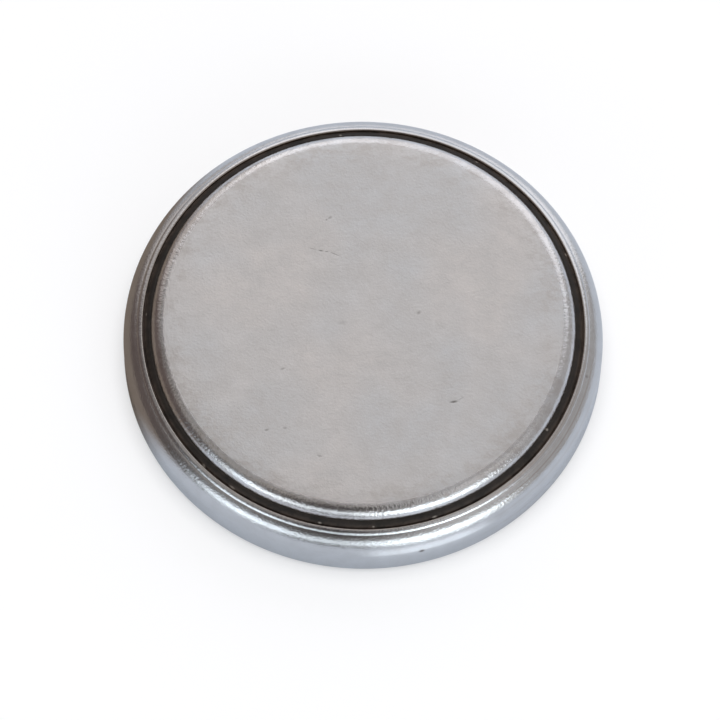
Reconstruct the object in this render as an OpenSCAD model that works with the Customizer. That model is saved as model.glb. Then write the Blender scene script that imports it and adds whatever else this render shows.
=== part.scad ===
// Lithium coin cell of the 20 mm by 3.2 mm size, in millimetres.
// It stands on its positive face at z = 0 with the negative cap up. Every piece is a body of
// revolution about Z, apart from the openings of the collector grid and the polarity cross.

/* [Cell] */
// Outer diameter of the cell
cell_d = 20; // [18:0.1:25]
// Height over both contact faces
cell_h = 3.2; // [2.6:0.05:5]

/* [Positive can] */
// Thickness of the can's steel sheet
can_sheet = 0.25; // [0.18:0.01:0.35]
// Outside radius of the bend between the base and the wall
base_bend_r = 0.5; // [0.4:0.05:0.7]
// Outside radius of the crimped shoulder
shoulder_r = 1; // [0.8:0.05:1.2]
// Depth of the shoulder's crown below the lip
shoulder_drop = 0.03; // [0:0.01:0.08]
// Reach of the crimp, from the outer wall in to the lip's edge
crimp_w = 0.83; // [0.68:0.01:1.1]
// Width of the raised bead that the crimp presses into the lip
bead_w = 0.32; // [0.26:0.01:0.38]
// Width of the flat on top of the bead, before its outer edge rounds over
bead_land = 0.01; // [0:0.01:0.12]

/* [Polarity cross] */
// Length of each bar of the cross coined into the base
cross_l = 3; // [2:0.1:5]
// Width of each bar
cross_w = 0.5; // [0.3:0.05:0.8]
// Depth of the cross
cross_depth = 0.05; // [0.02:0.01:0.1]
// Distance from the cell's axis to the middle of the cross
cross_y = 6; // [4:0.1:6.5]

/* [Negative cap] */
// Thickness of the cap's steel sheet
cap_sheet = 0.25; // [0.18:0.01:0.3]
// Height of the cap's face above the can's lip
cap_step = 0.58; // [0.3:0.01:0.8]
// Outside radius of the edge round the cap's face
cap_edge_r = 0.62; // [0.5:0.01:0.75]
// Radius at the foot of the cap's wall, where it turns out into the flange
cap_root_r = 0.1; // [0.05:0.01:0.12]
// Outside radius of the bend from the flange down into the skirt
skirt_bend_r = 0.35; // [0.32:0.01:0.4]

/* [Sealing gasket] */
// Gap between the cap's wall and the can's lip, where the gasket shows
mouth_gap = 0.3; // [0.2:0.01:0.4]
// Depth of the gasket below the can's lip, at the lip
gasket_recess = 0.12; // [0.05:0.01:0.2]
// Height of the gasket above the can's lip, at the cap
gasket_rise = 0.13; // [0:0.01:0.26]
// Gasket thickness between the lip and the cap's flange
seal_over_t = 0.33; // [0.25:0.01:0.45]
// Gasket thickness between the can's wall and the cap's skirt
seal_wall_t = 0.35; // [0.25:0.01:0.45]
// Gasket thickness under the skirt's edge
seal_floor_t = 0.35; // [0.25:0.01:0.45]
// Thickness of the gasket's inner leg, inside the skirt
seal_leg_t = 0.35; // [0.25:0.01:0.45]
// Space left between the inner leg and the cap's flange
leg_gap = 0.35; // [0.2:0.01:0.45]

/* [Electrodes] */
// Thickness of the lithium disc
anode_t = 0.65; // [0.4:0.05:0.8]
// Space left round the lithium disc, inside the cap's edge bend
anode_play = 0.6; // [0.3:0.05:1]
// Thickness of the separator
separator_t = 0.15; // [0.1:0.01:0.25]
// Space left round the separator, inside the cap's wall
separator_play = 0.14; // [0.1:0.01:0.3]
// Space left round the cathode pellet, inside the gasket's leg
pellet_play = 0.7; // [0.4:0.05:1.2]
// Size of the pressed bevel on the pellet's edges
pellet_bevel = 0.15; // [0.05:0.01:0.25]

/* [Collector grid] */
// Thickness of the expanded steel grid
grid_t = 0.1; // [0.06:0.01:0.15]
// How far the grid's rim stays inside the pellet's edge
grid_margin = 0.5; // [0.3:0.05:1]
// Width of the grid's plain rim
grid_rim = 0.5; // [0.3:0.05:0.8]
// Length of one mesh of the grid
mesh_l = 2.4; // [2:0.1:3]
// Width of one mesh of the grid
mesh_w = 1.4; // [1.2:0.1:2]
// Width of the strands between the openings
strand_w = 0.3; // [0.2:0.02:0.4]

/* [Hidden] */
$fn = 96;
cut = 1; // how far a cutting shape runs past what it cuts

// The can, from the outside in
can_r = cell_d / 2;
can_h = cell_h - cap_step;
crown_h = can_h - shoulder_drop;
lip_r = can_r - crimp_w;
bead_r = lip_r + bead_w;
bead_edge_r = bead_w - bead_land;

// The cap, from the face down to the edge of its skirt
cap_r = lip_r - mouth_gap;
flange_h = can_h - can_sheet - seal_over_t;
skirt_r = can_r - can_sheet - seal_wall_t;
skirt_foot = can_sheet + seal_floor_t;

// The gasket's own faces
crest_h = can_h + gasket_rise;
crest_r = cap_r - cap_edge_r + sqrt(pow(cap_edge_r, 2) - pow(crest_h - cell_h + cap_edge_r, 2));
leg_r = skirt_r - cap_sheet - seal_leg_t;
leg_top = flange_h - cap_sheet - leg_gap;

// The stack inside, from the can's floor up to the cap's inner face
grid_top = can_sheet + grid_t;
anode_foot = cell_h - cap_sheet - anode_t;
separator_foot = anode_foot - separator_t;
pellet_r = leg_r - pellet_play;
pellet_t = separator_foot - grid_top;
separator_r = cap_r - cap_sheet - separator_play;
anode_r = cap_r - cap_edge_r - anode_play;
grid_r = pellet_r - grid_margin;

// Half section of a round block with its lower and upper edges rounded
module block_2d(r, foot, top, foot_r, top_r) {
    difference() {
        translate([0, foot]) square([r, top - foot]);
        translate([r, foot]) edge_2d(foot_r);
        translate([r, top]) mirror([0, 1]) edge_2d(top_r);
    }
}

// What a rounded edge of radius r takes away from an outer corner at the origin
module edge_2d(r) {
    if (r > 0) difference() {
        translate([-r, -cut]) square([r + cut, r + cut]);
        translate([-r, r]) circle(r);
    }
}

// What a fillet of radius r adds to an inner corner at the origin
module fillet_2d(r) {
    difference() {
        square(r);
        translate([r, r]) circle(r);
    }
}

// Half section of the can's outer shape, or of the space inside it when inset by the sheet
module can_outline_2d(inset) {
    block_2d(can_r - inset, inset, crown_h - inset, base_bend_r - inset, shoulder_r - inset);
    translate([0, inset])
        block_2d(bead_r - inset, 0, can_h - 2 * inset, 0, max(0, bead_edge_r - inset));
}

// Half section of the cap's outer shape, or of the space under it when inset by the sheet
module cap_outline_2d(inset) {
    block_2d(cap_r - inset, skirt_foot - inset, cell_h - inset, 0, cap_edge_r - inset);
    block_2d(skirt_r - inset, skirt_foot - inset, flange_h - inset, 0, skirt_bend_r - inset);
    translate([cap_r - inset, flange_h - inset]) fillet_2d(cap_root_r + inset);
}

module positive_can() {
    color("silver") difference() {
        rotate_extrude() difference() {
            can_outline_2d(0);
            can_outline_2d(can_sheet);
            translate([0, can_sheet]) square([lip_r, can_h]);
        }
        translate([0, cross_y, 0]) {
            cube([cross_l, cross_w, 2 * cross_depth], center = true);
            cube([cross_w, cross_l, 2 * cross_depth], center = true);
        }
    }
}

module negative_cap() {
    color("gainsboro") rotate_extrude() difference() {
        cap_outline_2d(0);
        cap_outline_2d(cap_sheet);
    }
}

// The gasket fills what is left between the can and the cap, and turns up inside the skirt
module sealing_gasket() {
    color("dimgray") rotate_extrude() {
        difference() {
            can_outline_2d(can_sheet);
            cap_outline_2d(0);
            square([leg_r, can_h]);
            translate([0, flange_h]) square([lip_r, can_h]);
        }
        translate([leg_r, can_sheet]) square([seal_leg_t, leg_top - can_sheet]);
        mouth_ring_2d();
    }
}

// Half section of the gasket in the mouth, which rises from the can's lip to the cap's edge
module mouth_ring_2d() {
    difference() {
        polygon([[crest_r, flange_h], [lip_r, flange_h], [lip_r, can_h - gasket_recess],
                 [crest_r, crest_h]]);
        cap_outline_2d(0);
    }
}

module lithium_anode() {
    color("lightsteelblue") translate([0, 0, anode_foot]) cylinder(r = anode_r, h = anode_t);
}

module separator() {
    color("white") translate([0, 0, separator_foot]) cylinder(r = separator_r, h = separator_t);
}

module cathode_pellet() {
    color("darkslategray") translate([0, 0, grid_top]) {
        cylinder(r1 = pellet_r - pellet_bevel, r2 = pellet_r, h = pellet_bevel);
        translate([0, 0, pellet_bevel]) cylinder(r = pellet_r, h = pellet_t - 2 * pellet_bevel);
        translate([0, 0, pellet_t - pellet_bevel])
            cylinder(r1 = pellet_r, r2 = pellet_r - pellet_bevel, h = pellet_bevel);
    }
}

// One diamond opening of the expanded grid
module mesh_opening() {
    half_l = (mesh_l - strand_w) / 2;
    half_w = (mesh_w - strand_w) / 2;
    translate([0, 0, -cut]) linear_extrude(grid_t + 2 * cut)
        polygon([[half_l, 0], [0, half_w], [-half_l, 0], [0, -half_w]]);
}

// Rows of openings, every other row shifted by half a mesh, kept whole inside the plain rim
module collector_grid() {
    open_r = grid_r - grid_rim - mesh_l / 2;
    columns = ceil(grid_r / mesh_l);
    rows = ceil(2 * grid_r / mesh_w);
    color("darkgray") translate([0, 0, can_sheet]) difference() {
        cylinder(r = grid_r, h = grid_t);
        for (row = [-rows:rows], column = [-columns:columns]) {
            x = (column + (row % 2 == 0 ? 0 : 0.5)) * mesh_l;
            y = row * mesh_w / 2;
            if (norm([x, y]) < open_r) translate([x, y, 0]) mesh_opening();
        }
    }
}

positive_can();
negative_cap();
sealing_gasket();
lithium_anode();
separator();
cathode_pellet();
collector_grid();
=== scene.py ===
import math

import bpy
import numpy as np
from mathutils import Matrix, Vector


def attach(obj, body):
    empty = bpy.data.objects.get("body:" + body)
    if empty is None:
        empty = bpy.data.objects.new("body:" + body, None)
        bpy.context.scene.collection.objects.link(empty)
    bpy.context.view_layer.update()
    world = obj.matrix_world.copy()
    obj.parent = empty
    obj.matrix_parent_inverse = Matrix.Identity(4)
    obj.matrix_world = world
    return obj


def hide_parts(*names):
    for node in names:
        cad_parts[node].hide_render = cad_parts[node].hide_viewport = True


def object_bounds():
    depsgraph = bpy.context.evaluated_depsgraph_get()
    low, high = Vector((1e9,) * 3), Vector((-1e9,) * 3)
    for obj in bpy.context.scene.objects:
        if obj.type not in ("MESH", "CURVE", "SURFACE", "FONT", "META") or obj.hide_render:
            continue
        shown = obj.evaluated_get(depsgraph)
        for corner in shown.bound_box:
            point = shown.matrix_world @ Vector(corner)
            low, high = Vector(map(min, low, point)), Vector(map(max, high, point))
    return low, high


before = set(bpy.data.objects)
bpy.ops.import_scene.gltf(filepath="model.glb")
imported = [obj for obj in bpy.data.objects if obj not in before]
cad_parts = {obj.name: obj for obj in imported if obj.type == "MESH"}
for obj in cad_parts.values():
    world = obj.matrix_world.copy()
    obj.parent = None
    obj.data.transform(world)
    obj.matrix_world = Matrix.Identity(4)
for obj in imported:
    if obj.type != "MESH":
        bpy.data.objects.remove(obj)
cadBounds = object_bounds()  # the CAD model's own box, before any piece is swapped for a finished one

mm = 0.001
scene = bpy.context.scene
scene.view_settings.view_transform = "Standard"  # plain sRGB, so the greys of the metal stay as set
cellTop = cadBounds[1].z / mm
cellRadius = cadBounds[1].x / mm
print("frame loaded: cell", round(2 * cellRadius, 2), "by", round(cellTop, 2), "mm")


# ---- camera
cameraSet = {
    "distance": 250,       # mm from the middle of the base
    "elevation": 64.68,    # degrees above the floor, from the -Y side
    "focal": 297.85,       # mm on a 36 mm sensor
    "pan": 0.025,          # small turns that frame the cell, in degrees
    "tilt": -0.064,
    "roll": 1.47,
}


def makeCamera(s):
    elevation = math.radians(s["elevation"])
    back = Vector((0, -math.cos(elevation), math.sin(elevation)))
    right = Vector((1, 0, 0))
    facing = Matrix((right, back.cross(right), back)).transposed()
    turns = (
        Matrix.Rotation(math.radians(s["pan"]), 3, "Y")
        @ Matrix.Rotation(math.radians(s["tilt"]), 3, "X")
        @ Matrix.Rotation(math.radians(s["roll"]), 3, "Z")
    )
    data = bpy.data.cameras.new("camera")
    data.lens = s["focal"]
    data.sensor_width = 36
    data.clip_start = 0.01
    camera = bpy.data.objects.new("camera", data)
    camera.matrix_world = Matrix.Translation(back * s["distance"] * mm) @ (facing @ turns).to_4x4()
    scene.collection.objects.link(camera)
    scene.camera = camera


makeCamera(cameraSet)


# ---- light: soft panels around the cell, and a room that is darker on the left
# azimuth is counter-clockwise from +X, elevation above the floor, both in degrees; distances and sizes are in
# metres, and glow is the panel's radiance
panels = {
    "backPanel": {"azimuth": 76, "elevation": 27, "distance": 0.9, "size": (1.08, 0.92),
                  "glow": 0.72, "colour": (0.97, 1.0, 1.08)},
    "frontBand": {"azimuth": 268, "elevation": 22, "distance": 0.8, "size": (2.2, 0.30),
                  "glow": 1.02, "colour": (0.87, 0.99, 1.08)},
    "windowRight": {"azimuth": 301, "elevation": 18, "distance": 0.79, "size": (0.56, 0.42),
                    "glow": 1.3, "colour": (0.88, 1.0, 1.09)},
}
# soft glows on the room's walls and ceiling: full within one angle of their middle, gone past the other
glows = {
    "ceiling": {"azimuth": 96, "elevation": 62, "full": 4, "gone": 17, "colour": (0.51, 0.503, 0.50)},
    "zenith": {"azimuth": 90, "elevation": 77, "full": 6, "gone": 17, "colour": (0.24, 0.24, 0.245)},
    "ceilingLeft": {"azimuth": 192, "elevation": 62, "full": 10, "gone": 28, "colour": (0.28, 0.27, 0.26)},
    "ceilingRight": {"azimuth": 322, "elevation": 62, "full": 11, "gone": 26, "colour": (0.25, 0.25, 0.25)},
    "wallLeft": {"azimuth": 160, "elevation": 14, "full": 16, "gone": 42, "colour": (0.030, 0.008, 0.000)},
    "wallFrontLeft": {"azimuth": 226, "elevation": 19, "full": 9, "gone": 24, "colour": (0.73, 0.81, 0.90)},
    "wallBackLeft": {"azimuth": 117, "elevation": 27, "full": 14, "gone": 31, "colour": (0.50, 0.48, 0.475)},
}
# the camera's own dark shape above the front of the cell, which darkens what is behind it
holder = {"azimuth": 270, "elevation": 65, "full": 6, "gone": 17, "colour": (0.16, 0.15, 0.15)}
roomSet = {
    "left": (0.105, 0.099, 0.100),
    "right": (0.43, 0.425, 0.435),
    "turnover": (-0.35, 0.6),        # how far to the right the left wall ends and the right wall begins
    "backdrop": (0.95, 0.95, 0.95),  # what the camera sees past the floor
}
floorLight = {"height": 0.9, "size": 0.7, "power": 4.9, "colour": (1.0, 1.0, 1.0)}


def towards(azimuth, elevation=0.0):
    azimuth, elevation = math.radians(azimuth), math.radians(elevation)
    return Vector((
        math.cos(elevation) * math.cos(azimuth),
        math.cos(elevation) * math.sin(azimuth),
        math.sin(elevation),
    ))


def aimAtCell(position):
    back = Vector(position).normalized()
    side = Vector((0, 0, 1)).cross(back).normalized()
    turned = Matrix((side, back.cross(side), back)).transposed().to_4x4()
    return Matrix.Translation(position) @ turned


def makePanel(name, s):
    position = s["distance"] * towards(s["azimuth"], s["elevation"])
    data = bpy.data.lights.new(name, "AREA")
    data.shape = "RECTANGLE"
    data.size, data.size_y = s["size"]
    data.color = s["colour"]
    area = s["size"][0] * s["size"][1]
    data.energy = s["glow"] * math.pi * area  # in watts: a panel of radiance 1 gives pi watts a square metre
    panel = bpy.data.objects.new(name, data)
    panel.matrix_world = aimAtCell(position)
    scene.collection.objects.link(panel)


def makeRoom(s, glows, holder):
    # two walls that run into each other, the glows added one by one, and the holder's shape over them
    world = bpy.data.worlds.new("room")
    scene.world = world
    world.use_nodes = True
    nodes, links = world.node_tree.nodes, world.node_tree.links
    nodes.clear()
    where = nodes.new("ShaderNodeTexCoord")
    split = nodes.new("ShaderNodeSeparateXYZ")
    across = nodes.new("ShaderNodeMapRange")
    across.interpolation_type = "SMOOTHERSTEP"
    across.inputs["From Min"].default_value, across.inputs["From Max"].default_value = s["turnover"]
    sides = nodes.new("ShaderNodeMix")
    sides.data_type = "RGBA"
    sides.inputs["A"].default_value = (*s["left"], 1)
    sides.inputs["B"].default_value = (*s["right"], 1)
    lit = sides.outputs["Result"]
    for glow, blend in [*((glow, "ADD") for glow in glows.values()), (holder, "MULTIPLY")]:
        facing = nodes.new("ShaderNodeVectorMath")
        facing.operation = "DOT_PRODUCT"
        facing.inputs[1].default_value = towards(glow["azimuth"], glow["elevation"])
        share = nodes.new("ShaderNodeMapRange")
        share.interpolation_type = "SMOOTHSTEP"
        share.inputs["From Min"].default_value = math.cos(math.radians(glow["gone"]))
        share.inputs["From Max"].default_value = math.cos(math.radians(glow["full"]))
        added = nodes.new("ShaderNodeMix")
        added.data_type = "RGBA"
        added.blend_type = blend
        added.inputs["B"].default_value = (*glow["colour"], 1)
        links.new(where.outputs["Generated"], facing.inputs[0])
        links.new(facing.outputs["Value"], share.inputs["Value"])
        links.new(share.outputs["Result"], added.inputs["Factor"])
        links.new(lit, added.inputs["A"])
        lit = added.outputs["Result"]
    path = nodes.new("ShaderNodeLightPath")
    seen = nodes.new("ShaderNodeMix")
    seen.data_type = "RGBA"
    seen.inputs["B"].default_value = (*s["backdrop"], 1)
    background = nodes.new("ShaderNodeBackground")
    out = nodes.new("ShaderNodeOutputWorld")
    links.new(where.outputs["Generated"], split.inputs["Vector"])
    links.new(split.outputs["X"], across.inputs["Value"])
    links.new(across.outputs["Result"], sides.inputs["Factor"])
    links.new(lit, seen.inputs["A"])
    links.new(path.outputs["Is Camera Ray"], seen.inputs["Factor"])
    links.new(seen.outputs["Result"], background.inputs["Color"])
    links.new(background.outputs["Background"], out.inputs["Surface"])


def makeFloorLight(s):
    # lights what is matt, and leaves the metal to the panels
    data = bpy.data.lights.new("floorLight", "AREA")
    data.shape = "DISK"
    data.size = s["size"]
    data.color = s["colour"]
    data.energy = s["power"]
    light = bpy.data.objects.new("floorLight", data)
    light.location = (0, 0, s["height"])
    light.visible_glossy = False
    light.visible_camera = False
    scene.collection.objects.link(light)


for panelName, panelSet in panels.items():
    makePanel(panelName, panelSet)
makeRoom(roomSet, glows, holder)
makeFloorLight(floorLight)
print("camera and light placed:", len(panels) + 1, "lights")


# ---- small helpers for node trees
def addNode(tree, kind, links=(), **values):
    # makes a node, sets its properties and constant inputs, and links sockets into it
    node = tree.nodes.new(kind)
    for key, value in values.items():
        if key in node.inputs:
            node.inputs[key].default_value = value
        else:
            setattr(node, key, value)
    for socket, source in links:
        tree.links.new(source, node.inputs[socket])
    return node


def newGroup(name, inputs, outputs):
    # inputs and outputs are {name: (socket kind, default)}
    tree = bpy.data.node_groups.new(name, "ShaderNodeTree")
    for key, (kind, default) in inputs.items():
        socket = tree.interface.new_socket(key, in_out="INPUT", socket_type=kind)
        if default is not None:
            socket.default_value = default
    for key, kind in outputs.items():
        tree.interface.new_socket(key, in_out="OUTPUT", socket_type=kind)
    return tree, tree.nodes.new("NodeGroupInput"), tree.nodes.new("NodeGroupOutput")


def useGroup(tree, group, **values):
    node = tree.nodes.new("ShaderNodeGroup")
    node.node_tree = group
    for key, value in values.items():
        node.inputs[key].default_value = value
    return node


# ---- effects that several materials share
def makeGrain():
    # three noises: a fine one as a height, a cloudy one for mottled colour and a slow one for the tone
    tree, given, put = newGroup(
        "surfaceGrain",
        {"Position": ("NodeSocketVector", None), "Fine": ("NodeSocketFloat", 9000.0),
         "Cloud": ("NodeSocketFloat", 900.0), "Stretch": ("NodeSocketVector", (1, 1, 1))},
        {"Height": "NodeSocketFloat", "Tone": "NodeSocketFloat", "Mottle": "NodeSocketFloat"},
    )
    fine = addNode(tree, "ShaderNodeTexNoise", [("Vector", given.outputs["Position"]),
                                               ("Scale", given.outputs["Fine"])],
                   Detail=3.0, Roughness=0.6)
    drawn = addNode(tree, "ShaderNodeVectorMath", [(0, given.outputs["Position"]),
                                                   (1, given.outputs["Stretch"])], operation="MULTIPLY")
    cloud = addNode(tree, "ShaderNodeTexNoise", [("Vector", drawn.outputs[0]),
                                                ("Scale", given.outputs["Cloud"])],
                    Detail=5.0, Roughness=0.78)
    wide = addNode(tree, "ShaderNodeMath", [(0, given.outputs["Cloud"])], operation="MULTIPLY")
    wide.inputs[1].default_value = 0.22  # the slow noise is four to five times as wide as the cloud
    slow = addNode(tree, "ShaderNodeTexNoise", [("Vector", given.outputs["Position"]),
                                               ("Scale", wide.outputs[0])],
                   Detail=2.0, Roughness=0.5)
    tree.links.new(fine.outputs["Fac"], put.inputs["Height"])
    tree.links.new(cloud.outputs["Fac"], put.inputs["Mottle"])
    tree.links.new(slow.outputs["Fac"], put.inputs["Tone"])
    return tree


def makeTurnedLines():
    # fine lines round the axis: noise over radius and height alone, so that it doesn't change round the cell
    tree, given, put = newGroup(
        "turnedLines",
        {"Position": ("NodeSocketVector", None), "Pitch": ("NodeSocketFloat", 12000.0)},
        {"Height": "NodeSocketFloat", "Radius": "NodeSocketFloat"},
    )
    flat = addNode(tree, "ShaderNodeVectorMath", [(0, given.outputs["Position"])], operation="MULTIPLY")
    flat.inputs[1].default_value = (1, 1, 0)  # the height is left out
    radius = addNode(tree, "ShaderNodeVectorMath", [(0, flat.outputs[0])], operation="LENGTH")
    split = addNode(tree, "ShaderNodeSeparateXYZ", [("Vector", given.outputs["Position"])])
    section = addNode(tree, "ShaderNodeCombineXYZ", [("X", radius.outputs["Value"]),
                                                     ("Y", split.outputs["Z"])])
    lines = addNode(tree, "ShaderNodeTexNoise", [("Vector", section.outputs[0]),
                                                ("Scale", given.outputs["Pitch"])],
                    Detail=2.0, Roughness=0.7)
    tree.links.new(lines.outputs["Fac"], put.inputs["Height"])
    tree.links.new(radius.outputs["Value"], put.inputs["Radius"])
    return tree


def makeSideMask():
    # one side of the cell: how nearly the way out from the axis points in a direction
    tree, given, put = newGroup(
        "sideMask",
        {"Position": ("NodeSocketVector", None), "Direction": ("NodeSocketVector", None),
         "Gone": ("NodeSocketFloat", 0.5), "Full": ("NodeSocketFloat", 0.9)},
        {"Mask": "NodeSocketFloat"},
    )
    flat = addNode(tree, "ShaderNodeVectorMath", [(0, given.outputs["Position"])], operation="MULTIPLY")
    flat.inputs[1].default_value = (1, 1, 0)
    way = addNode(tree, "ShaderNodeVectorMath", [(0, flat.outputs[0])], operation="NORMALIZE")
    facing = addNode(tree, "ShaderNodeVectorMath", [(0, way.outputs[0]), (1, given.outputs["Direction"])],
                     operation="DOT_PRODUCT")
    mask = addNode(tree, "ShaderNodeMapRange", [("Value", facing.outputs["Value"]),
                                               ("From Min", given.outputs["Gone"]),
                                               ("From Max", given.outputs["Full"])],
                   interpolation_type="SMOOTHSTEP")
    tree.links.new(mask.outputs["Result"], put.inputs["Mask"])
    return tree


def makeHairlines():
    # sparse hairlines in one direction: noise squeezed across the line, of which only the peaks are kept
    tree, given, put = newGroup(
        "hairlines",
        {"Position": ("NodeSocketVector", None), "Turn": ("NodeSocketFloat", 0.0),
         "Across": ("NodeSocketFloat", 14000.0), "Keep": ("NodeSocketFloat", 0.68)},
        {"Mask": "NodeSocketFloat"},
    )
    turned = addNode(tree, "ShaderNodeVectorRotate", [("Vector", given.outputs["Position"]),
                                                      ("Angle", given.outputs["Turn"])],
                     rotation_type="Z_AXIS")
    squeezed = addNode(tree, "ShaderNodeVectorMath", [(0, turned.outputs[0])], operation="MULTIPLY")
    squeezed.inputs[1].default_value = (0.10, 1, 1)  # ten times as long as wide
    noise = addNode(tree, "ShaderNodeTexNoise", [("Vector", squeezed.outputs[0]),
                                                ("Scale", given.outputs["Across"])],
                    Detail=1.0, Roughness=0.5)
    top = addNode(tree, "ShaderNodeMath", [(0, given.outputs["Keep"])], operation="ADD")
    top.inputs[1].default_value = 0.06  # a hairline's soft edge, in the noise's own values
    kept = addNode(tree, "ShaderNodeMapRange", [("Value", noise.outputs["Fac"]),
                                               ("From Min", given.outputs["Keep"]),
                                               ("From Max", top.outputs[0])])
    tree.links.new(kept.outputs["Result"], put.inputs["Mask"])
    return tree


def makeSpecks():
    # scattered specks: the middles of a few voronoi cells, chosen by the cell's own random colour
    tree, given, put = newGroup(
        "scatteredSpecks",
        {"Position": ("NodeSocketVector", None), "Spread": ("NodeSocketFloat", 1800.0),
         "Size": ("NodeSocketFloat", 0.12), "Keep": ("NodeSocketFloat", 0.8)},
        {"Mask": "NodeSocketFloat"},
    )
    cells = addNode(tree, "ShaderNodeTexVoronoi", [("Vector", given.outputs["Position"]),
                                                   ("Scale", given.outputs["Spread"])])
    near = addNode(tree, "ShaderNodeMapRange", [("Value", cells.outputs["Distance"]),
                                               ("From Max", given.outputs["Size"])])
    near.inputs["To Min"].default_value = 1
    near.inputs["To Max"].default_value = 0
    split = addNode(tree, "ShaderNodeSeparateColor", [("Color", cells.outputs["Color"])])
    chosen = addNode(tree, "ShaderNodeMath", [(0, split.outputs["Red"]), (1, given.outputs["Keep"])],
                     operation="GREATER_THAN")
    mask = addNode(tree, "ShaderNodeMath", [(0, near.outputs["Result"]), (1, chosen.outputs[0])],
                   operation="MULTIPLY")
    tree.links.new(mask.outputs[0], put.inputs["Mask"])
    return tree


def makeNick():
    # one nick: a soft ellipse about a point, turned about Z
    tree, given, put = newGroup(
        "nick",
        {"Position": ("NodeSocketVector", None), "Middle": ("NodeSocketVector", None),
         "Turn": ("NodeSocketFloat", 0.0), "Reach": ("NodeSocketVector", None)},
        {"Mask": "NodeSocketFloat"},
    )
    offset = addNode(tree, "ShaderNodeVectorMath", [(0, given.outputs["Position"]),
                                                    (1, given.outputs["Middle"])], operation="SUBTRACT")
    turned = addNode(tree, "ShaderNodeVectorRotate", [("Vector", offset.outputs[0]),
                                                      ("Angle", given.outputs["Turn"])],
                     rotation_type="Z_AXIS")
    shared = addNode(tree, "ShaderNodeVectorMath", [(0, turned.outputs[0]),
                                                    (1, given.outputs["Reach"])], operation="DIVIDE")
    far = addNode(tree, "ShaderNodeVectorMath", [(0, shared.outputs[0])], operation="LENGTH")
    mask = addNode(tree, "ShaderNodeMapRange", [("Value", far.outputs["Value"])],
                   interpolation_type="SMOOTHSTEP")
    mask.inputs["To Min"].default_value = 1
    mask.inputs["To Max"].default_value = 0
    tree.links.new(mask.outputs["Result"], put.inputs["Mask"])
    return tree


surfaceGrain = makeGrain()
turnedLines = makeTurnedLines()
sideMask = makeSideMask()
hairlines = makeHairlines()
scatteredSpecks = makeSpecks()
nick = makeNick()
print("shared effects built")


# ---- materials
def startMaterial(name, colour, metallic, roughness):
    material = bpy.data.materials.new(name)
    material.use_nodes = True
    tree = material.node_tree
    shader = tree.nodes["Principled BSDF"]
    shader.inputs["Base Color"].default_value = (*colour, 1)
    shader.inputs["Metallic"].default_value = metallic
    shader.inputs["Roughness"].default_value = roughness
    where = tree.nodes.new("ShaderNodeTexCoord").outputs["Object"]
    return material, tree, shader, where


def blendColours(tree, factor, low, high):
    # low and high are colours or sockets
    node = tree.nodes.new("ShaderNodeMix")
    node.data_type = "RGBA"
    tree.links.new(factor, node.inputs["Factor"])
    for key, value in (("A", low), ("B", high)):
        if isinstance(value, bpy.types.NodeSocket):
            tree.links.new(value, node.inputs[key])
        else:
            node.inputs[key].default_value = (*value, 1)
    return node.outputs["Result"]


def reach(tree, value, low, high, fromLow=0.0, fromHigh=1.0):
    node = addNode(tree, "ShaderNodeMapRange", [("Value", value)])
    node.inputs["From Min"].default_value = fromLow
    node.inputs["From Max"].default_value = fromHigh
    node.inputs["To Min"].default_value = low
    node.inputs["To Max"].default_value = high
    return node.outputs["Result"]


def mathNode(tree, operation, first, second):
    node = tree.nodes.new("ShaderNodeMath")
    node.operation = operation
    for i, value in enumerate((first, second)):
        if isinstance(value, bpy.types.NodeSocket):
            tree.links.new(value, node.inputs[i])
        else:
            node.inputs[i].default_value = value
    return node.outputs[0]


def bumpFrom(tree, height, distance, after=None):
    node = addNode(tree, "ShaderNodeBump", [("Height", height)], Distance=distance)
    if after is not None:
        tree.links.new(after, node.inputs["Normal"])
    return node.outputs["Normal"]


def sideOf(tree, where, s):
    # s holds the azimuth of the side and the two angles between which it fades
    node = useGroup(tree, sideMask, Direction=towards(s["azimuth"]),
                    Gone=math.cos(math.radians(s["gone"])), Full=math.cos(math.radians(s["full"])))
    tree.links.new(where, node.inputs["Position"])
    return node.outputs["Mask"]


def markedBy(tree, where, s):
    # a mark is x, y, half length and half width in mm, its turn in degrees and its strength; upward is its
    # reach up and down, and the strongest mark counts
    strongest = None
    for x, y, long, wide, turn, strength in s["marks"]:
        node = useGroup(tree, nick, Middle=(x * mm, y * mm, s["height"] * mm), Turn=math.radians(-turn),
                        Reach=(long * mm, wide * mm, s["upward"] * mm))
        tree.links.new(where, node.inputs["Position"])
        mask = mathNode(tree, "MULTIPLY", node.outputs["Mask"], strength)
        strongest = mask if strongest is None else mathNode(tree, "MAXIMUM", strongest, mask)
    return strongest


noiseSpan = (0.3, 0.7)  # the stretch in which most of a noise's values lie


# scales are in cells a metre and depths in metres; a pair is a value's two ends, or the span of a change;
# evenRoughness stands where the noise isn't read
canFinish = {
    "light": (0.69, 0.685, 0.68), "dark": (0.61, 0.60, 0.59), "stain": (0.10, 0.08, 0.06),
    "roughness": (0.11, 0.18), "evenRoughness": 0.2, "grain": 11500, "cloud": 1400,
    "grainDepth": 0.0125 * mm,
    "linePitch": 9000, "lineDepth": 0.0024 * mm,
    "specks": {"Spread": 1500.0, "Size": 0.16, "Keep": 0.9}, "speckStrength": 0.7,
    # painted shade: the lip's inner edge next to the gasket is darkened, for the shade in the recess between
    # lip, gasket and cap
    "lipShade": (0.35, 0.29, 0.245),
    "lipReach": (0.02, 0.10),  # mm out from the lip, over which the painted shade fades
    "lipFoot": (2.30, 2.42),   # mm up, over which it sets in
    "streakStrength": 0.75, "streakSpan": (0.50, 0.62),
    "rubbed": (0.50, 0.42, 0.36), "rubbedSide": {"azimuth": -32, "full": 8, "gone": 34},
    "pit": {"height": 1.59, "upward": 0.17, "marks": [(2.63, -9.65, 0.19, 0.3, 15, 1.0)]},
}


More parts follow.
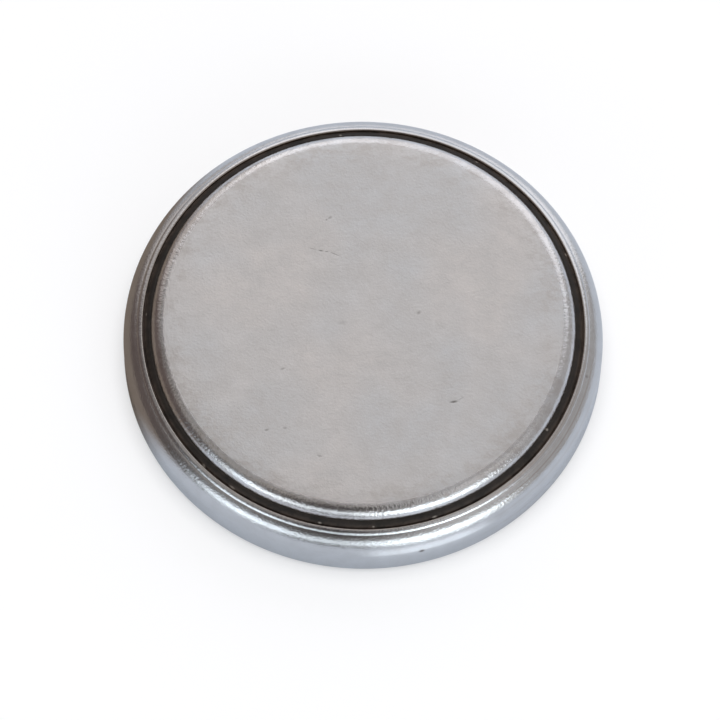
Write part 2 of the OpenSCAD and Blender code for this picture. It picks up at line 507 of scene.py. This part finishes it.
def canSteel(s):
    material, tree, shader, where = startMaterial("canSteel", s["light"], 1.0, s["evenRoughness"])
    grain = useGroup(tree, surfaceGrain, Fine=s["grain"], Cloud=s["cloud"])
    lines = useGroup(tree, turnedLines, Pitch=s["linePitch"])
    specks = useGroup(tree, scatteredSpecks, **s["specks"])
    for node in (grain, lines, specks):
        tree.links.new(where, node.inputs["Position"])
    tone = blendColours(tree, reach(tree, grain.outputs["Mottle"], 0, 1, *noiseSpan), s["dark"], s["light"])
    stained = blendColours(tree, reach(tree, specks.outputs["Mask"], 0, s["speckStrength"]), tone, s["stain"])
    lip = cellRadius - can["crimp"]
    radius = lines.outputs["Radius"]
    nearLip = reach(tree, radius, 1, 0, (lip + s["lipReach"][0]) * mm, (lip + s["lipReach"][1]) * mm)
    height = addNode(tree, "ShaderNodeSeparateXYZ", [("Vector", where)]).outputs["Z"]
    raised = reach(tree, height, 0, 1, s["lipFoot"][0] * mm, s["lipFoot"][1] * mm)
    onLip = mathNode(tree, "MULTIPLY", nearLip, raised)
    # painted shade on the lip's inner edge, next to the gasket
    lipShaded = blendColours(tree, onLip, stained, s["lipShade"])
    streaks = reach(tree, lines.outputs["Height"], 0, s["streakStrength"], *s["streakSpan"])
    streaked = mathNode(tree, "MULTIPLY", streaks, sideOf(tree, where, s["rubbedSide"]))
    rubbed = blendColours(tree, streaked, lipShaded, s["rubbed"])
    pit = markedBy(tree, where, s["pit"])
    tree.links.new(blendColours(tree, pit, rubbed, s["stain"]), shader.inputs["Base Color"])
    rough = reach(tree, grain.outputs["Tone"], *s["roughness"], *noiseSpan)
    tree.links.new(rough, shader.inputs["Roughness"])
    fine = bumpFrom(tree, grain.outputs["Height"], s["grainDepth"])
    both = bumpFrom(tree, lines.outputs["Height"], s["lineDepth"], after=fine)
    tree.links.new(both, shader.inputs["Normal"])
    return material


capFinish = {
    "light": (0.770, 0.732, 0.708), "cool": (0.722, 0.722, 0.726), "dark": (0.655, 0.634, 0.618),
    "stain": (0.16, 0.145, 0.13), "roughness": (0.285, 0.325), "evenRoughness": 0.3,
    "grain": 9000, "cloud": 1100, "grainDepth": 0.0080 * mm, "drawn": (0.75, 1, 1), "coolSpan": (0.38, 0.62),
    "edgeReach": (8.22, 8.42),  # mm from the axis, where the matt face gives way to the polished edge
    "edgeRoughness": (0.14, 0.19), "edgeGrain": 0.0090 * mm,
    "linePitch": 5000, "lineDepth": 0.0006 * mm,
    "smudge": (0.52, 0.47, 0.43), "smudgeStrength": 0.30, "smudgeSpan": (0.40, 0.52),
    "smudgeReach": (7.3, 7.9),  # mm from the axis
    "hairColour": (0.54, 0.52, 0.50), "hairStrength": 0.24, "hairAcross": 9000.0, "hairKeep": 0.70,
    "hairTurns": (-7, 34),      # degrees
    "hairDepth": 0.0003 * mm, "markDepth": 0.006 * mm,
}
# nicks in the face, which darken it and are pressed into it
faceMarks = {
    "height": cellTop, "upward": 0.2,
    "marks": [
        (3.80, -3.62, 0.24, 0.085, 12, 0.9), (4.08, -3.47, 0.26, 0.045, 32, 0.3),
        (-2.20, 3.25, 0.26, 0.045, -18, 0.35), (-1.86, 3.17, 0.15, 0.055, -8, 0.75),
        (-1.62, 3.13, 0.12, 0.05, 0, 0.5), (-1.30, 3.04, 0.34, 0.045, -24, 0.45),
        (-1.53, 4.71, 0.15, 0.08, 35, 0.45), (-1.66, 4.62, 0.08, 0.06, 50, 0.5),
        (-3.87, -5.11, 0.15, 0.08, 20, 0.45), (-3.13, -5.00, 0.13, 0.08, 0, 0.4),
        (-1.66, -6.22, 0.17, 0.07, -15, 0.4), (2.28, 0.41, 0.16, 0.10, 50, 0.4),
        (-0.90, -0.14, 0.30, 0.14, 10, 0.18), (-3.30, -2.32, 0.20, 0.07, 30, 0.35),
    ],
}


def capSteel(s):
    material, tree, shader, where = startMaterial("capSteel", s["light"], 1.0, s["evenRoughness"])
    grain = useGroup(tree, surfaceGrain, Fine=s["grain"], Cloud=s["cloud"], Stretch=s["drawn"])
    lines = useGroup(tree, turnedLines, Pitch=s["linePitch"])
    for node in (grain, lines):
        tree.links.new(where, node.inputs["Position"])
    cooled = reach(tree, grain.outputs["Tone"], 0, 1, *s["coolSpan"])
    light = blendColours(tree, cooled, s["light"], s["cool"])
    tone = blendColours(tree, reach(tree, grain.outputs["Mottle"], 0, 1, *noiseSpan), s["dark"], light)
    onCrown = reach(tree, lines.outputs["Radius"], 0, 1, *(mm * r for r in s["smudgeReach"]))
    patches = reach(tree, grain.outputs["Mottle"], s["smudgeStrength"], 0, *s["smudgeSpan"])
    tone = blendColours(tree, mathNode(tree, "MULTIPLY", onCrown, patches), tone, s["smudge"])
    hairs = None
    for turn in s["hairTurns"]:
        node = useGroup(tree, hairlines, Turn=math.radians(turn), Across=s["hairAcross"], Keep=s["hairKeep"])
        tree.links.new(where, node.inputs["Position"])
        mask = node.outputs["Mask"]
        hairs = mask if hairs is None else mathNode(tree, "MAXIMUM", hairs, mask)
    lined = blendColours(tree, reach(tree, hairs, 0, s["hairStrength"]), tone, s["hairColour"])
    marked = markedBy(tree, where, faceMarks)
    stained = blendColours(tree, marked, lined, s["stain"])
    tree.links.new(stained, shader.inputs["Base Color"])
    onEdge = reach(tree, lines.outputs["Radius"], 0, 1, *(mm * r for r in s["edgeReach"]))
    rough = addNode(tree, "ShaderNodeMix", [
        ("Factor", onEdge),
        ("A", reach(tree, grain.outputs["Tone"], *s["roughness"], *noiseSpan)),
        ("B", reach(tree, grain.outputs["Tone"], *s["edgeRoughness"], *noiseSpan)),
    ]).outputs["Result"]
    tree.links.new(rough, shader.inputs["Roughness"])
    fine = bumpFrom(tree, grain.outputs["Height"], s["grainDepth"])
    raised = mathNode(tree, "MULTIPLY", mathNode(tree, "SUBTRACT", grain.outputs["Height"], 0.5), onEdge)
    coarse = bumpFrom(tree, raised, s["edgeGrain"], after=fine)
    drawn = bumpFrom(tree, lines.outputs["Height"], s["lineDepth"], after=coarse)
    scored = bumpFrom(tree, mathNode(tree, "SUBTRACT", 1.0, hairs), s["hairDepth"], after=drawn)
    pitted = bumpFrom(tree, mathNode(tree, "SUBTRACT", 1.0, marked), s["markDepth"], after=scored)
    tree.links.new(pitted, shader.inputs["Normal"])
    return material


gasketFinish = {
    "light": (0.024, 0.018, 0.014), "dark": (0.007, 0.006, 0.005), "dust": (0.34, 0.30, 0.26),
    "ridge": (0.050, 0.036, 0.028), "ridgeSpan": (0.42, 0.56), "ridgeWeakest": 0.25,
    "ridgeReach": (8.98, 9.12),  # mm from the axis, over which the brown ridge sets in
    "specks": {"Spread": 2600.0, "Size": 0.2, "Keep": 0.93}, "speckStrength": 0.8,
    "roughness": (0.5, 0.68), "evenRoughness": 0.5, "specular": 0.3,
    "grain": 7000.0, "cloud": 1500.0, "grainDepth": 0.012 * mm,
    # burrs at the lip's edge drawn as pale marks: the burrs are real, their brightness is a painted glint
    "burrGlints": {"height": 2.55, "upward": 0.2, "marks": [
        (4.59, 7.82, 0.10, 0.05, 150, 0.9), (8.38, 3.61, 0.12, 0.05, 113, 0.9),
        (-6.42, -6.49, 0.14, 0.06, -45, 0.8), (-1.58, -8.94, 0.12, 0.05, -10, 0.7),
        (0.62, -9.06, 0.08, 0.04, 4, 0.7), (3.11, -8.54, 0.16, 0.05, 20, 0.8),
        (-5.22, -7.45, 0.20, 0.05, -35, 0.6), (-9.04, 0.30, 0.10, 0.04, 88, 0.6),
    ]},
}


def gasketPolymer(s):
    material, tree, shader, where = startMaterial("gasketPolymer", s["light"], 0.0, s["evenRoughness"])
    grain = useGroup(tree, surfaceGrain, Fine=s["grain"], Cloud=s["cloud"])
    lines = useGroup(tree, turnedLines)
    specks = useGroup(tree, scatteredSpecks, **s["specks"])
    for node in (grain, lines, specks):
        tree.links.new(where, node.inputs["Position"])
    plain = blendColours(tree, reach(tree, grain.outputs["Mottle"], 0, 1, *noiseSpan), s["dark"], s["light"])
    outer = reach(tree, lines.outputs["Radius"], 0, 1, *(mm * r for r in s["ridgeReach"]))
    patches = reach(tree, grain.outputs["Mottle"], s["ridgeWeakest"], 1, *s["ridgeSpan"])
    ridged = blendColours(tree, mathNode(tree, "MULTIPLY", outer, patches), plain, s["ridge"])
    dusty = blendColours(tree, reach(tree, specks.outputs["Mask"], 0, s["speckStrength"]), ridged, s["dust"])
    # painted glints of the burrs, as pale marks
    burrGlints = markedBy(tree, where, s["burrGlints"])
    tree.links.new(blendColours(tree, burrGlints, dusty, s["dust"]), shader.inputs["Base Color"])
    rough = reach(tree, grain.outputs["Tone"], *s["roughness"], *noiseSpan)
    tree.links.new(rough, shader.inputs["Roughness"])
    tree.links.new(bumpFrom(tree, grain.outputs["Height"], s["grainDepth"]), shader.inputs["Normal"])
    shader.inputs["Specular IOR Level"].default_value = s["specular"]
    return material


# ---- outlines: lines and arcs in the plane of radius and height, in mm
def line(start, end, steps):
    # start + t (end - start), for t from 0 up to 1
    t = np.linspace(0, 1, steps + 1)[:, None]
    return np.array(start) + t * (np.array(end, float) - np.array(start, float))


def arc(centre, radius, fromDegrees, toDegrees, steps):
    # centre + radius (cos a, sin a), for a from one angle to the other
    a = np.radians(np.linspace(fromDegrees, toDegrees, steps + 1))
    return np.array(centre) + radius * np.stack([np.cos(a), np.sin(a)], 1)


def joined(*parts):
    # one outline, without the point that two neighbours share
    return np.concatenate([parts[0], *[part[1:] for part in parts[1:]]])


def angleTo(centre, point):
    return math.degrees(math.atan2(point[1] - centre[1], point[0] - centre[0]))


def outerMeeting(first, firstRadius, second, secondRadius):
    # the point at both distances from the two centres, on the side away from the axis
    first, second = np.array(first), np.array(second)
    gap = np.linalg.norm(second - first)
    along = (firstRadius ** 2 - secondRadius ** 2 + gap ** 2) / (2 * gap)
    off = math.sqrt(firstRadius ** 2 - along ** 2)
    way = (second - first) / gap
    return first + along * way + off * np.array([way[1], -way[0]])


# ---- surfaces: an outline carried round the axis
def outlineNormals(outline, closed):
    # the outline runs with the solid on its left, so outwards is the tangent turned to the right
    if closed:
        tangent = np.roll(outline, -1, 0) - np.roll(outline, 1, 0)
    else:
        tangent = np.gradient(outline, axis=0)
    tangent /= np.linalg.norm(tangent, axis=1, keepdims=True)
    return np.stack([tangent[:, 1], -tangent[:, 0]], 1)


def turnedPiece(name, outline, turns, relief, closed, sharpDegrees=35):
    # point(i, a) = ((r + n d) cos a, (r + n d) sin a, z + m d), where (r, z) is the outline, (n, m) its
    # outward normal and d the relief there; an open outline starts and ends on the axis, where one point
    # closes the surface
    normals = outlineNormals(outline, closed)
    if not closed:
        outline, normals = outline[1:-1], normals[1:-1]
    angle = np.arange(turns) * 2 * np.pi / turns
    r, z = outline[:, :1], outline[:, 1:]
    depth = relief(r + 0 * angle, z + 0 * angle, angle + 0 * r)
    radial = r + normals[:, :1] * depth
    points = np.stack([radial * np.cos(angle), radial * np.sin(angle), z + normals[:, 1:] * depth], -1)
    index = np.arange(points.shape[0] * turns).reshape(-1, turns)
    rows = np.concatenate([index, index[:1]]) if closed else index
    after = np.roll(rows, -1, axis=1)
    quads = np.stack([rows[:-1], after[:-1], after[1:], rows[1:]], -1).reshape(-1, 4)
    vertices = points.reshape(-1, 3)
    fans = np.zeros((0, 3), int)
    if not closed:
        poles = np.array([[0, 0, z[0, 0]], [0, 0, z[-1, 0]]])
        first = len(vertices)
        vertices = np.concatenate([vertices, poles])
        foot = np.stack([np.full(turns, first), np.roll(index[0], -1), index[0]], 1)
        head = np.stack([np.full(turns, first + 1), index[-1], np.roll(index[-1], -1)], 1)
        fans = np.concatenate([foot, head])
    mesh = bpy.data.meshes.new(name)
    mesh.vertices.add(len(vertices))
    mesh.vertices.foreach_set("co", (vertices * mm).astype(np.float32).ravel())
    corners = np.concatenate([quads.ravel(), fans.ravel()]).astype(np.int32)
    sizes = np.concatenate([np.full(len(quads), 4), np.full(len(fans), 3)])
    mesh.loops.add(len(corners))
    mesh.loops.foreach_set("vertex_index", corners)
    mesh.polygons.add(len(sizes))
    mesh.polygons.foreach_set("loop_start", (np.cumsum(sizes) - sizes).astype(np.int32))
    mesh.update(calc_edges=True)
    mesh.validate()
    mesh.shade_smooth()
    mesh.set_sharp_from_angle(angle=math.radians(sharpDegrees))
    piece = bpy.data.objects.new(name, mesh)
    scene.collection.objects.link(piece)
    print(name, "built:", len(quads) * 2 + len(fans), "triangles")
    return piece


def finishPiece(piece, material, node):
    piece.data.materials.append(material)
    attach(piece, "root")
    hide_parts(node)


def softNoise(seed, count, low, high, steep=6):
    # the mean of sin(n a + u z + shift), with whole numbers n, so that it closes on itself round the cell
    random = np.random.default_rng(seed)
    across = random.integers(low, high, count)
    up = random.uniform(-steep, steep, count)
    shift = random.uniform(0, 2 * np.pi, count)

    def wave(z, angle):
        total = np.zeros_like(z)
        for k in range(count):
            total += np.sin(across[k] * angle + up[k] * z + shift[k])
        return total / count

    return wave


# ---- the positive can
# sizes in mm
can = {
    "sheet": 0.25, "height": 2.62, "baseBend": 0.5, "shoulder": 1.0, "shoulderDrop": 0.03,
    "crimp": 0.83, "bead": 0.32, "beadEdge": 0.31, "crease": 0.09, "lipEdge": 0.06,
    "crossRings": (4.4, 7.6),  # radii between which the base has close rings, for the cross
    "turns": 512, "wave": 0.0012, "waveFromLip": 0.02,
    "waveNoise": {"seed": 11, "count": 24, "low": 20, "high": 120},
    "cross": {"y": 6.0, "length": 3.0, "width": 0.5, "depth": 0.05, "slope": 0.07},
}


def canOutline(s):
    # up the outside from the axis, round the bead and the lip, and back down inside the sheet
    radius, sheet, bend, shoulder = cellRadius, s["sheet"], s["baseBend"], s["shoulder"]
    crown = s["height"] - s["shoulderDrop"]
    shoulderMid = (radius - shoulder, crown - shoulder)
    lip = radius - s["crimp"]
    beadMid = (lip + s["bead"] - s["beadEdge"], s["height"] - s["beadEdge"])
    creaseMid = outerMeeting(shoulderMid, shoulder + s["crease"], beadMid, s["beadEdge"] + s["crease"])
    shoulderEnd = angleTo(shoulderMid, creaseMid)
    beadStart = angleTo(beadMid, creaseMid)
    edge = s["lipEdge"]
    edgeRise = math.sqrt((s["beadEdge"] - edge) ** 2 - (lip + edge - beadMid[0]) ** 2)
    edgeMid = (lip + edge, beadMid[1] + edgeRise)
    beadEnd = angleTo(beadMid, edgeMid)
    innerBead = lip + s["bead"] - sheet
    innerShoulder = shoulder - sheet
    innerEnd = math.degrees(math.acos((innerBead - shoulderMid[0]) / innerShoulder))
    innerTop = shoulderMid[1] + innerShoulder * math.sin(math.radians(innerEnd))
    inner, outer = s["crossRings"]
    return joined(
        line((0, 0), (inner, 0), 8),
        line((inner, 0), (outer, 0), 44),
        line((outer, 0), (radius - bend, 0), 8),
        arc((radius - bend, bend), bend, -90, 0, 12),
        line((radius, bend), (radius, shoulderMid[1]), 10),
        arc(shoulderMid, shoulder, 0, shoulderEnd, 34),
        arc(creaseMid, s["crease"], shoulderEnd + 180, beadStart + 180, 8),
        arc(beadMid, s["beadEdge"], beadStart, beadEnd, 16),
        arc(edgeMid, edge, beadEnd, 180, 5),
        line((lip, edgeMid[1]), (lip, s["height"] - sheet), 4),
        line((lip, s["height"] - sheet), (innerBead, s["height"] - sheet), 1),
        line((innerBead, s["height"] - sheet), (innerBead, innerTop), 1),
        arc(shoulderMid, innerShoulder, innerEnd, 0, 8),
        line((radius - sheet, shoulderMid[1]), (radius - sheet, bend), 2),
        arc((radius - bend, bend), bend - sheet, 0, -90, 4),
        line((radius - bend, sheet), (0, sheet), 4),
    )


def smoothStep(t):
    t = np.clip(t, 0, 1)
    return t * t * (3 - 2 * t)


def crossDepth(s, x, y):
    # distance out of each bar, softened over the slope, and the deeper of the two bars
    def bar(u, v):
        inside = np.minimum(s["length"] / 2 - np.abs(u), s["width"] / 2 - np.abs(v))
        return smoothStep(inside / s["slope"] + 0.5)

    return s["depth"] * np.maximum(bar(x, y), bar(y, x))


def canRelief(s):
    # the cross is pressed into the base, and the outside has faint waves
    shoulderWave = softNoise(**s["waveNoise"])

    def relief(r, z, angle):
        x, y = r * np.cos(angle), r * np.sin(angle)
        onBase = z < 1e-6
        cross = np.where(onBase, crossDepth(s["cross"], x, y - s["cross"]["y"]), 0)
        outside = (z > s["baseBend"]) & (r > cellRadius - s["crimp"] + s["waveFromLip"])
        return -cross - np.where(outside, s["wave"] * (1 + shoulderWave(z, angle)) / 2, 0)

    return relief


canPiece = turnedPiece("canShell", canOutline(can), can["turns"], canRelief(can), closed=False)
finishPiece(canPiece, canSteel(canFinish), "positive_can")


# ---- the negative cap
cap = {
    "sheet": 0.25, "mouthGap": 0.30, "edge": 0.62, "root": 0.10, "skirtBend": 0.35,
    "sealOver": 0.33, "sealWall": 0.35, "sealFloor": 0.35, "turns": 512,
    "crownStart": 7.6, "crownTilt": 3.0, "pitDepth": 0.010,
}


def capSizes(s):
    flange = can["height"] - can["sheet"] - s["sealOver"]
    skirt = cellRadius - can["sheet"] - s["sealWall"]
    foot = can["sheet"] + s["sealFloor"]
    wall = cellRadius - can["crimp"] - s["mouthGap"]
    return flange, skirt, foot, wall


def capCrown(s):
    # the face bends down from crownStart on a wide arc, which runs into the edge's arc at crownTilt
    tilt = math.radians(s["crownTilt"])
    edgeRadius = capSizes(s)[3] - s["edge"]
    radius = (edgeRadius + s["edge"] * math.sin(tilt) - s["crownStart"]) / math.sin(tilt)
    drop = (radius - s["edge"]) * (1 - math.cos(tilt))
    return radius, (edgeRadius, cellTop - drop - s["edge"])


def capOutline(s):
    # out under the face, down inside wall and skirt, round the foot, and back up the outside to the face
    flange, skirt, foot, wall = capSizes(s)
    sheet, edge, root, bend = s["sheet"], s["edge"], s["root"], s["skirtBend"]
    crown, edgeMid = capCrown(s)
    rootMid = (wall + root, flange + root)
    bendMid = (skirt - bend, flange - bend)
    innerTop = edgeMid[1] + edge - sheet
    return joined(
        line((0, innerTop), (edgeMid[0], innerTop), 4),
        arc(edgeMid, edge - sheet, 90, 0, 6),
        line((wall - sheet, edgeMid[1]), (wall - sheet, rootMid[1]), 1),
        arc(rootMid, root + sheet, 180, 270, 5),
        line((rootMid[0], flange - sheet), (bendMid[0], flange - sheet), 1),
        arc(bendMid, bend - sheet, 90, 0, 3),
        line((skirt - sheet, bendMid[1]), (skirt - sheet, foot), 2),
        line((skirt - sheet, foot), (skirt, foot), 1),
        line((skirt, foot), (skirt, bendMid[1]), 2),
        arc(bendMid, bend, 0, 90, 5),
        line((bendMid[0], flange), (rootMid[0], flange), 1),
        arc(rootMid, root, 270, 180, 3),
        line((wall, rootMid[1]), (wall, edgeMid[1]), 4),
        arc(edgeMid, edge, 0, 90 - s["crownTilt"], 44),
        arc((s["crownStart"], cellTop - crown), crown, 90 - s["crownTilt"], 90, 12),
        line((s["crownStart"], cellTop), (0, cellTop), 78),
    )


def capRelief(s, marks):
    # each mark presses in a soft ellipse; the deepest one counts
    def relief(r, z, angle):
        x, y = r * np.cos(angle), r * np.sin(angle)
        pressed = np.zeros_like(x)
        for markX, markY, long, wide, turn, strength in marks:
            c, d = math.cos(math.radians(turn)), math.sin(math.radians(turn))
            u, v = x - markX, y - markY
            far = np.hypot((c * u + d * v) / long, (c * v - d * u) / wide)
            pressed = np.maximum(pressed, strength * smoothStep(1 - far))
        return -np.where(z > cellTop - 1e-6, s["pitDepth"] * pressed, 0)

    return relief


capPiece = turnedPiece("capShell", capOutline(cap), cap["turns"], capRelief(cap, faceMarks["marks"]),
                       closed=False)
finishPiece(capPiece, capSteel(capFinish), "negative_cap")


# ---- the sealing gasket
gasket = {
    "recess": 0.12, "rise": 0.13, "leg": 0.35, "legGap": 0.35, "turns": 512,
    "groove": 0.05, "grooveReach": 0.22,  # at both edges of the mouth; the reach is a share of its width
    "hump": 0.03, "mouthSteps": 16,
    "squeeze": 0.012, "squeezeFrom": 0.01,  # from just above the mouth's edge at the lip
    "squeezeNoise": {"seed": 23, "count": 18, "low": 6, "high": 60},
}


def gasketOutline(s):
    # out along the can's floor, up its wall to the lip, across the mouth, and back down round the flange
    flange, skirt, foot, wall = capSizes(cap)
    radius, sheet, bend = cellRadius, can["sheet"], can["baseBend"]
    lip = radius - can["crimp"]
    crown = can["height"] - can["shoulderDrop"]
    shoulderMid = (radius - can["shoulder"], crown - can["shoulder"])
    innerBead = lip + can["bead"] - sheet
    innerShoulder = can["shoulder"] - sheet
    innerEnd = math.degrees(math.acos((innerBead - shoulderMid[0]) / innerShoulder))
    innerTop = shoulderMid[1] + innerShoulder * math.sin(math.radians(innerEnd))
    edge = cap["edge"]
    edgeMid = capCrown(cap)[1]
    crest = can["height"] + s["rise"]
    crestAngle = math.degrees(math.asin((crest - edgeMid[1]) / edge))
    crestRadius = edgeMid[0] + edge * math.cos(math.radians(crestAngle))
    rootMid = (wall + cap["root"], flange + cap["root"])
    bendMid = (skirt - cap["skirtBend"], flange - cap["skirtBend"])
    leg = skirt - cap["sheet"] - s["leg"]
    legTop = flange - cap["sheet"] - s["legGap"]
    # across the mouth: start + t (end - start), raised by a hump and let down into a groove at both edges
    t = np.linspace(0, 1, s["mouthSteps"] + 1)
    start, end = np.array((lip, can["height"] - s["recess"])), np.array((crestRadius, crest))
    toEdge = np.minimum(t, 1 - t) / s["grooveReach"]
    rise = s["hump"] * np.sin(np.pi * t) - s["groove"] * (1 - smoothStep(toEdge))
    upAndOut = np.array((0.7, 0.7))
    mouth = start + t[:, None] * (end - start) + rise[:, None] * upAndOut
    return joined(
        line((leg, sheet), (radius - bend, sheet), 1),
        arc((radius - bend, bend), bend - sheet, -90, 0, 4),
        line((radius - sheet, bend), (radius - sheet, shoulderMid[1]), 1),
        arc(shoulderMid, innerShoulder, 0, innerEnd, 8),
        line((innerBead, innerTop), (innerBead, can["height"] - sheet), 1),
        line((innerBead, can["height"] - sheet), (lip, can["height"] - sheet), 1),
        line((lip, can["height"] - sheet), tuple(start), 1),
        mouth,
        line(tuple(mouth[-1]), (wall, edgeMid[1]), 2),
        line((wall, edgeMid[1]), (wall, rootMid[1]), 1),
        arc(rootMid, cap["root"], 180, 270, 3),
        line((rootMid[0], flange), (bendMid[0], flange), 1),
        arc(bendMid, cap["skirtBend"], 90, 0, 5),
        line((skirt, bendMid[1]), (skirt, foot), 1),
        line((skirt, foot), (skirt - cap["sheet"], foot), 1),
        line((skirt - cap["sheet"], foot), (skirt - cap["sheet"], legTop), 1),
        line((skirt - cap["sheet"], legTop), (leg, legTop), 1),
        line((leg, legTop), (leg, sheet), 1),
    )[:-1]


def gasketRelief(s):
    # the mouth is squeezed in by a little more or less round the cell
    squeeze = softNoise(**s["squeezeNoise"])

    def relief(r, z, angle):
        inMouth = z > can["height"] - s["recess"] + s["squeezeFrom"]
        return -np.where(inMouth, s["squeeze"] * (1 + squeeze(z, angle)) / 2, 0)

    return relief


gasketPiece = turnedPiece("gasketRing", gasketOutline(gasket), gasket["turns"], gasketRelief(gasket),
                          closed=True)
finishPiece(gasketPiece, gasketPolymer(gasketFinish), "sealing_gasket")


# ---- the pieces inside keep their CAD shapes
def setMaterial(node, material):
    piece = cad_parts[node]
    piece.data.materials.clear()
    piece.data.materials.append(material)


def plainInner(s, shares):
    material, tree, shader, where = startMaterial(s["name"], s["light"], s["metallic"], s["roughness"])
    grain = useGroup(tree, surfaceGrain, Fine=s["grain"], Cloud=s["grain"] * shares["cloud"])
    tree.links.new(where, grain.inputs["Position"])
    tone = blendColours(tree, reach(tree, grain.outputs["Mottle"], 0, 1, *noiseSpan), s["dark"], s["light"])
    tree.links.new(tone, shader.inputs["Base Color"])
    spread = (s["roughness"] * (1 - shares["rough"]), s["roughness"] * (1 + shares["rough"]))
    rough = reach(tree, grain.outputs["Tone"], *spread, *noiseSpan)
    tree.links.new(rough, shader.inputs["Roughness"])
    tree.links.new(bumpFrom(tree, grain.outputs["Height"], s["grainDepth"]), shader.inputs["Normal"])
    return material


# shares of a piece's own values: the cloud's scale, and how far the roughness strays
innerShares = {"cloud": 0.15, "rough": 0.15}
innerFinishes = {
    "lithium_anode": {"name": "lithiumFoil", "light": (0.70, 0.69, 0.70), "dark": (0.45, 0.42, 0.42),
                      "metallic": 1.0, "roughness": 0.42, "grain": 4000.0, "grainDepth": 0.004 * mm},
    "separator": {"name": "separatorFelt", "light": (0.86, 0.85, 0.82), "dark": (0.70, 0.69, 0.66),
                  "metallic": 0.0, "roughness": 0.85, "grain": 9000.0, "grainDepth": 0.02 * mm},
    "cathode_pellet": {"name": "cathodePowder", "light": (0.035, 0.033, 0.032), "dark": (0.012, 0.012, 0.012),
                       "metallic": 0.0, "roughness": 0.7, "grain": 12000.0, "grainDepth": 0.015 * mm},
    "collector_grid": {"name": "gridSteel", "light": (0.60, 0.59, 0.58), "dark": (0.45, 0.44, 0.43),
                       "metallic": 1.0, "roughness": 0.3, "grain": 8000.0, "grainDepth": 0.002 * mm},
}

for innerNode, innerFinish in innerFinishes.items():
    setMaterial(innerNode, plainInner(innerFinish, innerShares))
print("finishes set on", len(innerFinishes), "inner pieces")


# ---- floor
# the camera sees an even pale floor; the steel mirrors a painted floor instead: a bluish tint, painted shade
# on the left and a painted glow on the right
floorSet = {
    "radius": 1.6,  # metres
    "mirrored": (0.585, 0.628, 0.70), "roughness": 0.9,
    "shade": (0.22, 0.18, 0.15), "shadeSide": {"azimuth": 168, "full": 26, "gone": 47},
    "glare": (0.51, 0.56, 0.60), "glareSide": {"azimuth": 289, "full": 6, "gone": 20},
    "glareStart": (10.7, 11.2), "glareEnd": (14, 20),  # mm from the axis
    "seenColour": (0.50, 0.50, 0.502), "seenGlow": (0.46, 0.458, 0.46), "mottleDepth": 0.01,
    "grain": 2000.0, "cloud": 60.0, "specular": 0.2,
    "under": 0.005,  # mm below the cell's foot, so that the two faces don't lie in one plane
    "sides": 96,
}


def makeFloor(s):
    # a flat disc: radius (cos a, sin a), just under the cell's foot
    angle = np.arange(s["sides"]) * 2 * np.pi / s["sides"]
    height = np.full(s["sides"], -s["under"] * mm)
    ring = np.stack([s["radius"] * np.cos(angle), s["radius"] * np.sin(angle), height], 1)
    mesh = bpy.data.meshes.new("floor")
    mesh.from_pydata(ring.tolist(), [], [list(range(s["sides"]))])
    material, tree, shader, where = startMaterial("floorPaper", s["seenColour"], 0.0, s["roughness"])
    grain = useGroup(tree, surfaceGrain, Fine=s["grain"], Cloud=s["cloud"])
    tree.links.new(where, grain.inputs["Position"])
    low = tuple((1 - s["mottleDepth"]) * c for c in s["seenColour"])
    tone = blendColours(tree, grain.outputs["Mottle"], low, s["seenColour"])
    seen = tree.nodes.new("ShaderNodeLightPath").outputs["Is Camera Ray"]
    # painted shade: the colour that other rays see turns dark on the left
    mirrored = blendColours(tree, sideOf(tree, where, s["shadeSide"]), s["mirrored"], s["shade"])
    tree.links.new(blendColours(tree, seen, mirrored, tone), shader.inputs["Base Color"])
    radius = addNode(tree, "ShaderNodeVectorMath", [(0, where)], operation="LENGTH").outputs["Value"]
    begun = reach(tree, radius, 0, 1, *(mm * r for r in s["glareStart"]))
    lasting = reach(tree, radius, 1, 0, *(mm * r for r in s["glareEnd"]))
    band = mathNode(tree, "MULTIPLY", begun, lasting)
    glareMask = mathNode(tree, "MULTIPLY", band, sideOf(tree, where, s["glareSide"]))
    # painted glow: a band on the right emits light for every ray but the camera's, to be mirrored as a
    # reflection
    glare = blendColours(tree, glareMask, (0, 0, 0), s["glare"])
    tree.links.new(blendColours(tree, seen, glare, s["seenGlow"]), shader.inputs["Emission Color"])
    shader.inputs["Emission Strength"].default_value = 1.0
    shader.inputs["Specular IOR Level"].default_value = s["specular"]
    mesh.materials.append(material)
    floor = bpy.data.objects.new("floor", mesh)
    scene.collection.objects.link(floor)


makeFloor(floorSet)
print("floor laid")
